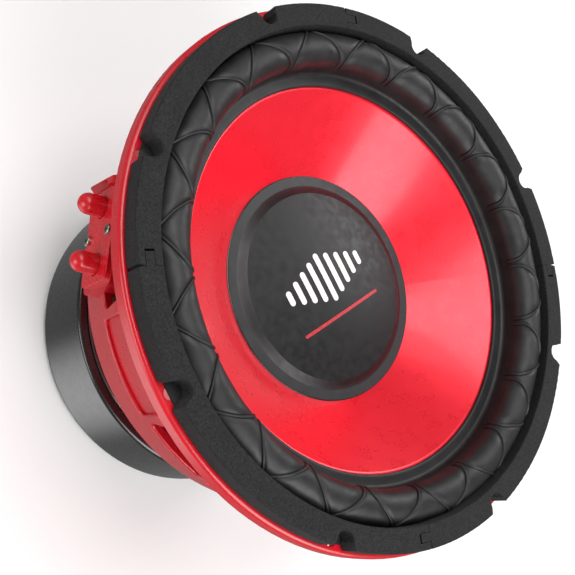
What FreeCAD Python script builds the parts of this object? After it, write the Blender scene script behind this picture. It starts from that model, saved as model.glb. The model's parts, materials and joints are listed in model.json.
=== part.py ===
"""Ten inch car subwoofer driver: painted basket, rubber gasket, surround, cone, motor and terminals.

Frame: millimetres. The driver stands on the rear face of its magnet boot at z = 0, its axis is +Z,
and its cone faces up.
"""
import FreeCAD
import Part
import math
import os

Vector = FreeCAD.Vector
ORIGIN = Vector(0, 0, 0)
UP = Vector(0, 0, 1)

# ---- driving dimensions ----------------------------------------------------------------------
GASKET_R = 128.0                        # outer radius of the gasket
FLANGE_R = GASKET_R + 2.2               # the painted rim shows outside the gasket
TOTAL_H = 1.5 * GASKET_R                # boot rear face to gasket front face
GASKET_INNER_R = 117.0
GASKET_FRONT = TOTAL_H
FLANGE_FRONT = TOTAL_H - 10.0
FLANGE_T = 3.5
RIM_REAR = FLANGE_FRONT - 7.5           # rear edge of the turned-down rim
RIM_T = 2.2

BOLTS = 8
BOLT_CIRCLE_R = 124.8
BOLT_HOLE_R = 2.8
BOLT_FIRST = 22.5                       # degrees from +X

WALL_T = 4.0                            # basket wall
NECK_R = 118.0                          # basket wall just behind the flange
NECK_BOTTOM = 150.0
SHOULDER_R = 104.0                      # crease where the wall turns in to the motor
SHOULDER_Z = 95.0
FOOT_R = 80.5                           # basket where it meets the top plate
SHELF_TOP = 91.0                        # ledge that carries the spider
SHELF_INNER_R = 76.0
SHELF_T = 4.0

WINDOWS = 8
WINDOW_FIRST = 39.0                     # middle of the first window, degrees from +X
WINDOW_SPAN = 17.5
WINDOW_LOW = 130.0
WINDOW_HIGH = 172.0
WINDOW_CORNER = 3.5
PANEL_SPAN = 23.0                       # recessed panel on each spoke
PANEL_LOW = 125.0
PANEL_HIGH = 171.0
PANEL_DEPTH = 2.4
PANEL_CORNER = 2.5
CUT_FROM_R = 100.0                      # the wall's cutters reach from here
CUT_TO_R = 125.0                        # to here
OPENING_ROUND = 1.0                     # rounding of window and panel edges
GASKET_ROUND = 0.6
SEAM_GAP = 0.12                         # half the gap where two gasket segments meet
SEAM_MOUTH = 0.9                        # half the gap at the outer edge, where the seam opens
SOCKET_RELIEF = 0.8                     # room beyond the end of each tab

PLATE_R = 82.0                          # top plate and back plate
PLATE_T = 8.0
MAGNET_R = 85.5
MAGNET_T = 28.0
MAGNET_BORE_R = 36.0
BOOT_R = 89.0
BOOT_T = 2.5
BACK_PLATE_REAR = BOOT_T
MAGNET_REAR = BACK_PLATE_REAR + PLATE_T
PLATE_REAR = MAGNET_REAR + MAGNET_T
PLATE_FRONT = PLATE_REAR + PLATE_T      # the basket stands on this face
BOOT_FRONT = PLATE_FRONT + 3.2
POLE_R = 24.5
VENT_R = 9.0
GAP_OUTER_R = 27.7

FORMER_R = 25.0                         # inside radius of the voice coil former
FORMER_T = 0.4
COIL_T = 1.5
COIL_LENGTH = 27.0
FORMER_TOP = 123.5

CONE_EDGE_R = 93.0                      # where the flat lip turns into the cone
CONE_EDGE_Z = 172.8
CONE_LIP_R = 99.6
CONE_RISE = 0.775                       # height gained per unit of radius
CONE_T = 1.14                           # thickness measured along the axis
CAP_R = 57.0                            # dust cap
CAP_STEP_R = 52.2                       # foot of the step up to the plateau
PLATEAU_R = 47.9
PLATEAU_RISE = 2.3
STEP_ROUND = 0.6
CAP_T = 0.8
DOME_SAG = 2.0
EMBLEM_TILT = 24.0                      # degrees, about the driver's axis

ROLL_MID_R = 108.6                      # half roll of the surround
ROLL_R = 8.3
ROLL_T = 1.2
LANDING_T = 0.8

TERMINAL_ANGLE = 166.0                  # degrees from +X to the middle of the terminal block
TERMINAL_Z = 130.0
POST_SPACING = 27.0
CAP_TRAVEL = 2.4
POST_R = 4.9
PAD_REAR = 103.5                        # flat seat for the block, distances from the axis
PAD_FACE = 113.4
PAD_WIDTH = 50.0
PAD_HEIGHT = 28.0
GUARD_Y = -22.5                         # guard rib beside the block
GUARD_T = 3.5
PLATE_WIDTH = 44.0                      # face plate of the block
PLATE_HEIGHT = 26.0
BODY_WIDTH = 40.4                       # body of the block, behind its face plate
BODY_HEIGHT = 16.0
BLOCK_SCREW_Z = (TERMINAL_Z - 10.3, TERMINAL_Z + 10.3)
BLOCK_REAR = 103.0
BLOCK_FACE = 115.3
BORE_FLOOR = 108.5                      # bottom of the bores that the caps slide in
CAP_REAR = 112.0
CAP_DOME_X = 122.0                      # centre of the cap's round end
CAP_TOP_T = 1.3
CONTACT_HOLE_X = 116.5                  # wire holes of stud and cap meet here when the cap is pressed
LEAD_R = 1.1
EYELET_X = 46.0


# ---- helpers ---------------------------------------------------------------------------------
def at(radius, height):
    """A point in the half plane that is turned about the axis."""
    return Vector(radius, 0, height)


def rounded_wire(corners, place=at):
    """A closed wire of straight edges. A corner with a third value is rounded to that radius."""
    points = [place(corner[0], corner[1]) for corner in corners]
    radii = [corner[2] if len(corner) > 2 else 0 for corner in corners]
    starts, ends, arcs = [], [], []
    for i, corner in enumerate(points):
        to_last = (points[i - 1] - corner).normalize()
        to_next = (points[(i + 1) % len(points)] - corner).normalize()
        if radii[i] == 0:
            starts.append(corner)
            ends.append(corner)
            arcs.append(None)
            continue
        half_angle = to_last.getAngle(to_next) / 2
        run = radii[i] / math.tan(half_angle)
        middle = corner + (to_last + to_next).normalize() * (radii[i] / math.sin(half_angle) - radii[i])
        starts.append(corner + to_last * run)
        ends.append(corner + to_next * run)
        arcs.append(Part.Arc(starts[i], middle, ends[i]).toShape())
    edges = []
    for i, arc in enumerate(arcs):
        if arc:
            edges.append(arc)
        following = starts[(i + 1) % len(points)]
        if ends[i].distanceToPoint(following) > 1e-6:
            edges.append(Part.LineSegment(ends[i], following).toShape())
    return Part.Wire(edges)


def turned(corners):
    """A solid of revolution about the axis from an outline of (radius, height[, rounding])."""
    return Part.Face(rounded_wire(corners)).revolve(ORIGIN, UP, 360)


def turned_path(edges):
    """A solid of revolution from a closed chain of edges."""
    return Part.Face(Part.Wire(edges)).revolve(ORIGIN, UP, 360)


def line(start, end):
    return Part.LineSegment(start, end).toShape()


def arc(start, middle, end):
    return Part.Arc(start, middle, end).toShape()


def tube(inner_r, outer_r, low, high):
    outer = Part.makeCylinder(outer_r, high - low, at(0, low))
    return outer.cut(Part.makeCylinder(inner_r, high - low, at(0, low)))


def spun(shape, degrees):
    """A copy turned about the driver's axis."""
    copy = shape.copy()
    copy.rotate(ORIGIN, UP, degrees)
    return copy


def around(shape, count, first):
    """Copies evenly spaced about the axis, the first at the given angle."""
    return [spun(shape, first + 360.0 / count * i) for i in range(count)]


def block(size_x, size_y, size_z, corner, low):
    """A box on +X with its Y-Z corners rounded. low is the x of its inner face and its middle z."""
    half_y, half_z = size_y / 2, size_z / 2
    outline = [(-half_y, -half_z, corner), (half_y, -half_z, corner),
               (half_y, half_z, corner), (-half_y, half_z, corner)]
    wire = rounded_wire(outline, lambda y, z: Vector(low[0], y, low[1] + z))
    return Part.Face(wire).extrude(Vector(size_x, 0, 0))


def rod_x(radius, start, end, y, z):
    return Part.makeCylinder(radius, end - start, Vector(start, y, z), Vector(1, 0, 0))


def placed(shape):
    """Turn a terminal piece built on +X to its place."""
    return spun(shape, TERMINAL_ANGLE)


def save(name, shape):
    """Write one piece, or one group of like pieces, and report its size."""
    if not shape.isValid():
        raise ValueError(name + " is not a valid shape")
    shape.exportStep(os.path.join("parts", name + ".step"))
    box = shape.BoundBox
    print("%-24s %2d solids %9.0f mm3  z %.1f to %.1f" % (name, len(shape.Solids), shape.Volume,
                                                          box.ZMin, box.ZMax))


# ---- basket ----------------------------------------------------------------------------------
def basket_body():
    """The turned basket with its flange, rim, wall, spider shelf and floor."""
    inner_neck_r = NECK_R - WALL_T
    return turned([
        (inner_neck_r, FLANGE_FRONT, 1.0), (FLANGE_R, FLANGE_FRONT, 1.8), (FLANGE_R, RIM_REAR, 0.6),
        (FLANGE_R - RIM_T, RIM_REAR, 0.4), (FLANGE_R - RIM_T, FLANGE_FRONT - FLANGE_T, 1.0),
        (NECK_R, FLANGE_FRONT - FLANGE_T, 1.5), (NECK_R, NECK_BOTTOM, 24.0),
        (SHOULDER_R, SHOULDER_Z, 7.0), (FOOT_R + 1.0, PLATE_FRONT + 4.0, 4.0), (FOOT_R - 3.0, PLATE_FRONT, 2.0),
        (40.0, PLATE_FRONT), (40.0, PLATE_FRONT + WALL_T), (FOOT_R - 5.0, PLATE_FRONT + WALL_T, 4.0),
        (SHOULDER_R - WALL_T - 3.0, SHELF_TOP - SHELF_T, 1.0), (SHELF_INNER_R, SHELF_TOP - SHELF_T, 1.0),
        (SHELF_INNER_R, SHELF_TOP, 1.0), (SHOULDER_R - WALL_T - 1.0, SHELF_TOP),
        (SHOULDER_R - WALL_T, SHOULDER_Z + 1.0), (inner_neck_r, NECK_BOTTOM + 0.5, 20.0)])


def wall_radius(height):
    """Outer radius of the basket's wall from the shoulder up."""
    share = min(max((height - SHOULDER_Z) / (NECK_BOTTOM - SHOULDER_Z), 0), 1)
    return SHOULDER_R + (NECK_R - SHOULDER_R) * share


def wall_cutter(span, low, high, corner):
    """A block on +X with rounded corners that reaches through the wall over a span in degrees."""
    width = 2 * wall_radius(low) * math.sin(math.radians(span / 2))
    return block(CUT_TO_R - CUT_FROM_R, width, high - low, corner, (CUT_FROM_R, (low + high) / 2))


def opening_edges(shape):
    """The edges of the windows and panels on the outside of the wall."""
    found = []
    for edge in shape.Edges:
        middle = edge.valueAt((edge.FirstParameter + edge.LastParameter) / 2)
        on_wall = math.hypot(middle.x, middle.y) > wall_radius(middle.z) - OPENING_ROUND
        if on_wall and edge.BoundBox.ZMin > PANEL_LOW - 1 and edge.BoundBox.ZMax < WINDOW_HIGH + 1:
            found.append(edge)
    return found


def terminal_guard():
    """A rib on the wall that shields the outer terminal."""
    outline = [(106, TERMINAL_Z - 18), (112, TERMINAL_Z - 14, 4), (121, TERMINAL_Z - 3, 4),
               (119.5, TERMINAL_Z + 17, 3), (112, TERMINAL_Z + 25), (106, TERMINAL_Z + 10)]
    wire = rounded_wire(outline, lambda x, z: Vector(x, GUARD_Y, z))
    return Part.Face(wire).extrude(Vector(0, GUARD_T, 0))


def in_levels(shape, heights):
    """The casting as touching solids, parted at the given heights: bowl, spokes and flange."""
    width = 2 * FLANGE_R + 10
    solids = []
    for low, high in zip(heights, heights[1:]):
        slab = Part.makeBox(width, width, high - low, Vector(-width / 2, -width / 2, low))
        solids += shape.common(slab).Solids
    return Part.makeCompound(solids)


def basket():
    step = 360.0 / WINDOWS
    window = wall_cutter(WINDOW_SPAN, WINDOW_LOW, WINDOW_HIGH, WINDOW_CORNER)
    cuts = around(window, WINDOWS, WINDOW_FIRST)

    panel = wall_cutter(PANEL_SPAN, PANEL_LOW, PANEL_HIGH, PANEL_CORNER)
    panel = panel.cut(turned([(0, PANEL_LOW - 20), (SHOULDER_R + 4.0 - PANEL_DEPTH, PANEL_LOW - 20),
                              (NECK_R - PANEL_DEPTH - 0.2, NECK_BOTTOM, 24.0),
                              (NECK_R - PANEL_DEPTH - 0.2, FLANGE_FRONT), (0, FLANGE_FRONT)]))
    for i in range(WINDOWS):
        middle = WINDOW_FIRST + step * (i + 0.5)
        if abs(middle - TERMINAL_ANGLE) > step / 2:
            cuts.append(spun(panel, middle))

    shape = basket_body().cut(cuts)
    shape = shape.makeFillet(OPENING_ROUND, opening_edges(shape))

    bolt_hole = Part.makeCylinder(BOLT_HOLE_R, 30, Vector(BOLT_CIRCLE_R, 0, RIM_REAR - 10))
    screw_hole = Part.makeCylinder(2.7, 20, Vector(60, 0, PLATE_FRONT - 5))
    shape = shape.cut(around(bolt_hole, BOLTS, BOLT_FIRST) + around(screw_hole, 6, 0))

    pad = block(PAD_FACE - PAD_REAR, PAD_WIDTH, PAD_HEIGHT, 4, (PAD_REAR, TERMINAL_Z))
    shape = shape.fuse([placed(pad), placed(terminal_guard())])
    seat = block(30, PLATE_WIDTH + 0.6, PLATE_HEIGHT + 0.6, 3.3, (PAD_FACE, TERMINAL_Z))
    passage = block(30, BODY_WIDTH + 0.4, BODY_HEIGHT + 0.4, 2.2, (PAD_REAR - 10, TERMINAL_Z))
    screw_holes = [rod_x(1.3, PAD_REAR - 1, PAD_FACE + 1, 0, z) for z in BLOCK_SCREW_Z]
    shape = shape.cut([placed(cutter) for cutter in [seat, passage] + screw_holes]).removeSplitter()
    return in_levels(shape, [0, WINDOW_LOW + WINDOW_CORNER, WINDOW_HIGH - WINDOW_CORNER, TOTAL_H])


# ---- gasket ----------------------------------------------------------------------------------
def on_rim(edge):
    """Whether a front edge of a segment lies on its long arcs or round a notch, and not on a seam."""
    middle = edge.valueAt((edge.FirstParameter + edge.LastParameter) / 2)
    radius = math.hypot(middle.x, middle.y)
    beyond_notch = (math.degrees(math.atan2(middle.y, middle.x)) - BOLT_FIRST) % (360.0 / BOLTS)
    beside_notch = min(beyond_notch, 360.0 / BOLTS - beyond_notch) < 5
    return radius > GASKET_R - 0.1 or radius < GASKET_INNER_R + 0.1 or beside_notch


def gasket_segment(tab_clearance):
    """A quarter of the ring, from 0 to 90 degrees, with a tab at one end and a socket at the other."""
    low = FLANGE_FRONT + LANDING_T
    height = GASKET_FRONT - low
    ring = tube(GASKET_INNER_R, GASKET_R, low, GASKET_FRONT)
    quarter = ring.common(Part.makeBox(GASKET_R, GASKET_R, height, Vector(SEAM_GAP, SEAM_GAP, low)))
    tab_in, tab_out, tab_long = GASKET_INNER_R + 3.6, GASKET_R - 3.6, 5.5
    tab = Part.makeBox(tab_out - tab_in, tab_long + 1, height, Vector(tab_in, -tab_long, low))
    socket_long = tab_long + tab_clearance + SOCKET_RELIEF
    socket = Part.makeBox(tab_out - tab_in + 2 * tab_clearance, socket_long + 1, height,
                          Vector(tab_in - tab_clearance, -socket_long, low))
    mouth = Part.Face(Part.makePolygon([
        Vector(tab_out + 0.3, 0, low), Vector(GASKET_R + 1, SEAM_MOUTH, low), Vector(GASKET_R + 1, -SEAM_MOUTH, low),
        Vector(tab_out + 0.3, 0, low)])).extrude(Vector(0, 0, height))
    segment = quarter.fuse(tab).cut([spun(socket, 90), mouth, spun(mouth, 90)])

    mouth_r, bottom_r = 6.6, 4.3
    notch = Part.Face(Part.Wire([
        line(Vector(GASKET_R + 3, -mouth_r - 1.2, low), Vector(BOLT_CIRCLE_R, -bottom_r, low)),
        arc(Vector(BOLT_CIRCLE_R, -bottom_r, low), Vector(BOLT_CIRCLE_R - bottom_r, 0, low),
            Vector(BOLT_CIRCLE_R, bottom_r, low)),
        line(Vector(BOLT_CIRCLE_R, bottom_r, low), Vector(GASKET_R + 3, mouth_r + 1.2, low)),
        line(Vector(GASKET_R + 3, mouth_r + 1.2, low), Vector(GASKET_R + 3, -mouth_r - 1.2, low))]))
    notch = notch.extrude(Vector(0, 0, height))
    segment = segment.cut([spun(notch, BOLT_FIRST), spun(notch, BOLT_FIRST + 360.0 / BOLTS)]).removeSplitter()
    rim = [edge for edge in segment.Edges if edge.BoundBox.ZMin > GASKET_FRONT - 0.01 and on_rim(edge)]
    return segment.makeFillet(GASKET_ROUND, rim)


# ---- moving parts ----------------------------------------------------------------------------
def cone_front(radius):
    """Height of the cone's front surface."""
    return CONE_EDGE_Z - (CONE_EDGE_R - radius) * CONE_RISE


def cone():
    neck_r = FORMER_R + FORMER_T + 0.15
    lip_z = CONE_EDGE_Z + 0.6
    return turned([
        (CONE_LIP_R, lip_z), (CONE_EDGE_R, CONE_EDGE_Z, 1.5), (neck_r + 2.2, cone_front(neck_r + 2.2), 1.0),
        (neck_r, cone_front(neck_r + 2.2)), (neck_r, cone_front(neck_r + 2.2) - 5.0),
        (neck_r + 1.0, cone_front(neck_r + 2.2) - 5.0), (neck_r + 1.2, cone_front(neck_r + 1.2) - CONE_T, 1.0),
        (CONE_EDGE_R + 0.4, cone_front(CONE_EDGE_R + 0.4) - CONE_T, 1.5), (CONE_LIP_R, lip_z - 0.9)])


def cap_base():
    """Height of the dust cap's flat ring where its edge meets the cone."""
    return cone_front(CAP_R) + 0.1


def dome_radius():
    return (PLATEAU_R ** 2 + DOME_SAG ** 2) / (2 * DOME_SAG)


def plateau_edge():
    return cap_base() + CAP_T + PLATEAU_RISE


def circles_through(shape, points):
    """The level circular edges of a turned shape that pass through the given points."""
    circles = [edge for edge in shape.Edges if not edge.Degenerated and isinstance(edge.Curve, Part.Circle)]
    level = [edge for edge in circles if abs(edge.Curve.Axis.z) > 0.99]
    return [edge for edge in level
            if any(edge.distToShape(Part.Vertex(point))[0] < 1e-4 for point in points)]


def dust_cap():
    """Flat ring, short step and a slightly domed plateau, pressed from one sheet."""
    base, edge = cap_base(), plateau_edge()
    chord = PLATEAU_R / 2
    quarter_sag = DOME_SAG - (dome_radius() - math.sqrt(dome_radius() ** 2 - chord ** 2))
    front = [at(CAP_R - 0.1, base + CAP_T), at(CAP_STEP_R, base + CAP_T), at(PLATEAU_R, edge),
             at(chord, edge + quarter_sag), at(0, edge + DOME_SAG)]
    rear = [at(CAP_R - 0.1, base), at(CAP_STEP_R - 0.3, base), at(PLATEAU_R - 0.4, edge - CAP_T),
            at(chord, edge + quarter_sag - CAP_T), at(0, edge + DOME_SAG - CAP_T)]
    cap = turned_path([
        line(front[0], front[1]), line(front[1], front[2]), arc(front[2], front[3], front[4]),
        line(front[4], rear[4]), arc(rear[4], rear[3], rear[2]), line(rear[2], rear[1]),
        line(rear[1], rear[0]), line(rear[0], front[0])])
    return cap.makeFillet(STEP_ROUND, circles_through(cap, front[1:3]))


def printed(flat_shapes):
    """Thin print on the dust cap's dome: flat shapes raised through a thin skin over the dome."""
    centre = at(0, plateau_edge() + DOME_SAG - dome_radius())
    skin = Part.makeSphere(dome_radius() + 0.17, centre).cut(Part.makeSphere(dome_radius() + 0.02, centre))
    solids = []
    for flat in flat_shapes:
        prism = spun(flat, EMBLEM_TILT).extrude(Vector(0, 0, 2 * DOME_SAG + 2))
        solids += skin.common(prism).Solids
    return Part.makeCompound(solids)


def print_bar(x, y, width, length):
    """A round-ended bar standing along Y, as a flat face under the dome."""
    low = plateau_edge() - 1
    half, run = width / 2, length / 2 - width / 2
    return Part.Face(Part.Wire([
        line(Vector(x - half, y - run, low), Vector(x - half, y + run, low)),
        arc(Vector(x - half, y + run, low), Vector(x, y + run + half, low), Vector(x + half, y + run, low)),
        line(Vector(x + half, y + run, low), Vector(x + half, y - run, low)),
        arc(Vector(x + half, y - run, low), Vector(x, y - run - half, low), Vector(x - half, y - run, low))]))


def emblem_bars():
    """A plain level-meter mark: nine upright bars that grow towards the middle."""
    pitch, width, tallest, drop = 6.4, 3.2, 26.0, 4.6
    return printed([print_bar(pitch * i, 4.0, width, tallest - drop * abs(i)) for i in range(-4, 5)])


def emblem_line():
    """A thin rule under the bars."""
    bar = print_bar(0, 0, 1.6, 56.0)
    bar.rotate(ORIGIN, UP, 90)
    bar.translate(Vector(0, -16.0, 0))
    return printed([bar])


def surround():
    """Rubber half roll with a flat landing under the gasket and another on the cone's lip."""
    top = FLANGE_FRONT + LANDING_T
    ring_outer = top - 8.0
    outer_foot, inner_foot = ROLL_MID_R + ROLL_R, ROLL_MID_R - ROLL_R
    inside_r = ROLL_R - ROLL_T
    lip_r = CONE_EDGE_R + 0.9
    p = [at(126.0, top - LANDING_T), at(126.0, top), at(outer_foot, top), at(ROLL_MID_R, top + ROLL_R),
         at(inner_foot, top), at(inner_foot, ring_outer + 2.0), at(inner_foot - 0.6, ring_outer + 0.6),
         at(inner_foot - 2.0, ring_outer), at(lip_r, CONE_EDGE_Z + 1.2), at(lip_r, CONE_EDGE_Z + 0.4),
         at(inner_foot + ROLL_T, CONE_EDGE_Z + 1.1), at(inner_foot + ROLL_T, top),
         at(ROLL_MID_R, top + inside_r), at(outer_foot - ROLL_T, top), at(outer_foot - ROLL_T, top - LANDING_T)]
    return turned_path([
        line(p[0], p[1]), line(p[1], p[2]), arc(p[2], p[3], p[4]), line(p[4], p[5]), arc(p[5], p[6], p[7]),
        line(p[7], p[8]), line(p[8], p[9]), line(p[9], p[10]), line(p[10], p[11]), arc(p[11], p[12], p[13]),
        line(p[13], p[14]), line(p[14], p[0])])


def spider():
    """Corrugated cloth disc between the basket's shelf and the former."""
    base, thickness, waves, height = SHELF_TOP, 0.6, 5, 2.4
    inner_r, outer_r, collar_r = 31.0, SHELF_INNER_R - 1.0, FORMER_R + FORMER_T + 0.1
    half_wave = (outer_r - inner_r) / (2 * waves)

    def ripple(offset, reverse):
        edges = []
        for i in range(2 * waves):
            start = outer_r - half_wave * i
            crest = height if i % 2 == 0 else -height
            ends = [at(start, base + offset), at(start - half_wave / 2, base + offset + crest),
                    at(start - half_wave, base + offset)]
            edges.append(arc(*(reversed(ends) if reverse else ends)))
        return list(reversed(edges)) if reverse else edges

    front, rear = base + thickness, base
    edges = [line(at(95.0, rear), at(95.0, front)), line(at(95.0, front), at(outer_r, front))]
    edges += ripple(thickness, False)
    edges += [line(at(inner_r, front), at(collar_r + 1.0, front)),
              line(at(collar_r + 1.0, front), at(collar_r + 1.0, front + 4.0)),
              line(at(collar_r + 1.0, front + 4.0), at(collar_r, front + 4.0)),
              line(at(collar_r, front + 4.0), at(collar_r, rear)), line(at(collar_r, rear), at(inner_r, rear))]
    edges += ripple(0, True)
    edges.append(line(at(outer_r, rear), at(95.0, rear)))
    return turned_path(edges)


def neck_adhesive():
    """Bead of glue in the corner between the cone's neck and the former."""
    r = FORMER_R + FORMER_T + 0.1
    foot = cone_front(r + 2.25)
    return turned([(r, foot + 0.1), (r + 2.2, foot + 0.1), (r + 5.2, cone_front(r + 5.2) + 0.15), (r, foot + 3.5)])


# ---- motor -----------------------------------------------------------------------------------
def t_yoke():
    """Back plate and vented pole, forged in one piece."""
    body = turned([
        (VENT_R, BACK_PLATE_REAR + 6, 2.0), (VENT_R + 6, BACK_PLATE_REAR), (PLATE_R, BACK_PLATE_REAR, 1.0),
        (PLATE_R, MAGNET_REAR, 1.0), (POLE_R + 1.2, MAGNET_REAR), (POLE_R + 1.2, MAGNET_REAR + 6, 1.0),
        (POLE_R, MAGNET_REAR + 8), (POLE_R, PLATE_FRONT + 2.5, 1.0), (VENT_R, PLATE_FRONT + 2.5, 2.0)])
    return body


def vent_screen():
    """Pressed mesh disc seated in the flared end of the pole vent."""
    radius, thickness, pitch, hole_r = 12.6, 0.5, 2.2, 0.75
    z = BACK_PLATE_REAR + 1.2
    disc = Part.makeCylinder(radius, thickness, at(0, z))
    holes = []
    for row in range(-5, 6):
        for column in range(-6, 7):
            x = pitch * (column + 0.5 * (row % 2))
            y = pitch * row * math.sqrt(3) / 2
            if math.hypot(x, y) < radius - 2.0:
                holes.append(Part.makeCylinder(hole_r, thickness, Vector(x, y, z)))
    return disc.cut(holes)


def magnet_boot():
    """Smooth moulded cover round the motor, with a front lip and an opening for the vent."""
    inner_r = MAGNET_R + 0.4
    vent_opening_r = 30.0
    body = turned([
        (vent_opening_r, 0, 0.8), (BOOT_R, 0, 5.0), (BOOT_R, BOOT_FRONT, 2.0), (FOOT_R + 3.0, BOOT_FRONT, 0.8),
        (FOOT_R + 3.0, PLATE_FRONT + 0.4), (inner_r, PLATE_FRONT + 0.4), (inner_r, BOOT_T),
        (vent_opening_r, BOOT_T)])
    groove = turned([(70, -1), (71.6, -1), (71.6, 0.8), (70, 0.8)])
    return body.cut(groove)


def pan_screw(x, y, head_z, shank_r, length, head_r, head_h):
    """A pan head screw pointing down, with a cross recess."""
    head = Part.makeCylinder(head_r, head_h, Vector(x, y, head_z))
    head = head.makeFillet(head_h * 0.45, [head.Edges[0]])
    screw = head.fuse(Part.makeCylinder(shank_r, length, Vector(x, y, head_z - length)))
    slot_w, slot_l = head_r * 0.3, head_r * 1.1
    for wide, deep in ((slot_w, slot_l), (slot_l, slot_w)):
        corner = Vector(x - wide / 2, y - deep / 2, head_z + head_h * 0.4)
        screw = screw.cut(Part.makeBox(wide, deep, head_h, corner))
    return screw


def plate_screws():
    """Six screws that hold the basket to the top plate."""
    screw = pan_screw(60, 0, PLATE_FRONT + WALL_T, 2.6, 11, 4.8, 3.2)
    return Part.makeCompound(around(screw, 6, 0))


def top_plate():
    body = turned([
        (GAP_OUTER_R, PLATE_REAR, 0.5), (PLATE_R, PLATE_REAR, 1.0), (PLATE_R, PLATE_FRONT, 1.0),
        (GAP_OUTER_R, PLATE_FRONT, 0.5)])
    return body.cut(around(Part.makeCylinder(2.62, 20, Vector(60, 0, PLATE_REAR - 2)), 6, 0))


# ---- terminals: built on +X, then turned to their place ---------------------------------------
POST_SIDES = {"1": -POST_SPACING / 2, "2": POST_SPACING / 2}


def terminal_block():
    seat = PAD_FACE + 0.05
    face = block(BLOCK_FACE - seat, PLATE_WIDTH, PLATE_HEIGHT, 3, (seat, TERMINAL_Z))
    body = block(seat - BLOCK_REAR, BODY_WIDTH, BODY_HEIGHT, 2, (BLOCK_REAR, TERMINAL_Z))
    cuts = []
    for y in POST_SIDES.values():
        cuts.append(rod_x(POST_R + 0.35, BORE_FLOOR, BLOCK_FACE + 1, y, TERMINAL_Z))
        cuts.append(rod_x(2.0, BLOCK_REAR - 1, BORE_FLOOR + 1, y, TERMINAL_Z))
    cuts += [rod_x(1.3, PAD_REAR, BLOCK_FACE + 1, 0, z) for z in BLOCK_SCREW_Z]
    return placed(face.fuse(body).cut(cuts).removeSplitter())


def terminal_cap(y):
    """Round-ended push cap. The cross hole takes the bare wire when the cap is pressed."""
    cap = rod_x(POST_R, CAP_REAR, CAP_DOME_X, y, TERMINAL_Z)
    cap = cap.fuse(Part.makeSphere(POST_R, Vector(CAP_DOME_X, y, TERMINAL_Z))).removeSplitter()
    cap = cap.cut(rod_x(3.7, CAP_REAR - 1, CAP_DOME_X - CAP_TOP_T, y, TERMINAL_Z))
    wire_hole = Part.makeCylinder(1.2, 10, Vector(CONTACT_HOLE_X + CAP_TRAVEL, y, TERMINAL_Z - 10))
    return placed(cap.cut(wire_hole))


def terminal_contact(y):
    """Brass stud through the block, riveted over at its inner end."""
    tip = CAP_DOME_X - CAP_TOP_T - CAP_TRAVEL - 0.4
    stud = rod_x(1.95, BLOCK_REAR - 2.3, tip, y, TERMINAL_Z)
    rivet = rod_x(3.0, BLOCK_REAR - 2.3, BLOCK_REAR - 0.8, y, TERMINAL_Z)
    wire_hole = Part.makeCylinder(0.9, 10, Vector(CONTACT_HOLE_X, y, TERMINAL_Z - 5))
    return placed(stud.fuse(rivet).cut(wire_hole).removeSplitter())


def terminal_spring(y):
    """Space taken by the return spring round the stud."""
    outer = rod_x(3.3, BORE_FLOOR + 0.1, CAP_DOME_X - CAP_TOP_T - 0.1, y, TERMINAL_Z)
    return placed(outer.cut(rod_x(2.5, BORE_FLOOR, CAP_DOME_X, y, TERMINAL_Z)))


def solder_lug(y):
    """Flat tag under the rivet, bent inwards to take the flexible lead."""
    tag = Part.makeBox(0.8, 7, 11, Vector(BLOCK_REAR - 0.8, y - 3.5, TERMINAL_Z - 7.5))
    tag = tag.cut(rod_x(1.97, BLOCK_REAR - 3, BLOCK_REAR + 1, y, TERMINAL_Z))
    tongue = Part.makeBox(8, 5, 0.8, Vector(BLOCK_REAR - 8.5, y - 2.5, TERMINAL_Z - 7.5))
    return placed(tag.fuse(tongue).removeSplitter())


def block_screws():
    screw = pan_screw(0, 0, 0, 1.25, 8, 2.4, 1.6)
    screw.rotate(ORIGIN, Vector(0, 1, 0), 90)
    group = []
    for z in BLOCK_SCREW_Z:
        copy = screw.copy()
        copy.translate(Vector(BLOCK_FACE, 0, z))
        group.append(placed(copy))
    return Part.makeCompound(group)


def behind_cone(y, distance):
    """The point at a distance behind the cone where a lead joins it, and the direction out of the cone."""
    radius = math.hypot(EYELET_X, y)
    foot = Vector(EYELET_X, y, cone_front(radius) - CONE_T)
    slope = math.atan(CONE_RISE)
    outward = Vector(EYELET_X / radius * math.sin(slope), y / radius * math.sin(slope), -math.cos(slope))
    return foot + outward * distance, outward


def tinsel_lead(y):
    """Flexible braid from the solder lug to the cone, hanging in one arc."""
    start = Vector(BLOCK_REAR - 9.2, y, TERMINAL_Z - 8.0 - LEAD_R)
    end = behind_cone(y, 1.6 + LEAD_R)[0]
    end.y = y
    middle = (start + end) * 0.5 - Vector(0, 0, 11)
    centre = arc(start, middle, end).Curve.Center
    sweep = math.degrees((start - centre).getAngle(end - centre))
    tangent = Vector(-(start - centre).z, 0, (start - centre).x)
    section = Part.Face(Part.Wire(Part.makeCircle(LEAD_R, start, tangent)))
    turn = Vector(0, 1, 0) if (start - centre).cross(end - centre).y > 0 else Vector(0, -1, 0)
    return placed(section.revolve(centre, turn, sweep))


def lead_eyelets():
    """Brass eyelets on the back of the cone, one for each lead."""
    group = []
    for y in POST_SIDES.values():
        foot, outward = behind_cone(y, 0.1)
        group.append(placed(Part.makeCylinder(2.2, 1.2, foot, outward)))
    return Part.makeCompound(group)


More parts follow.
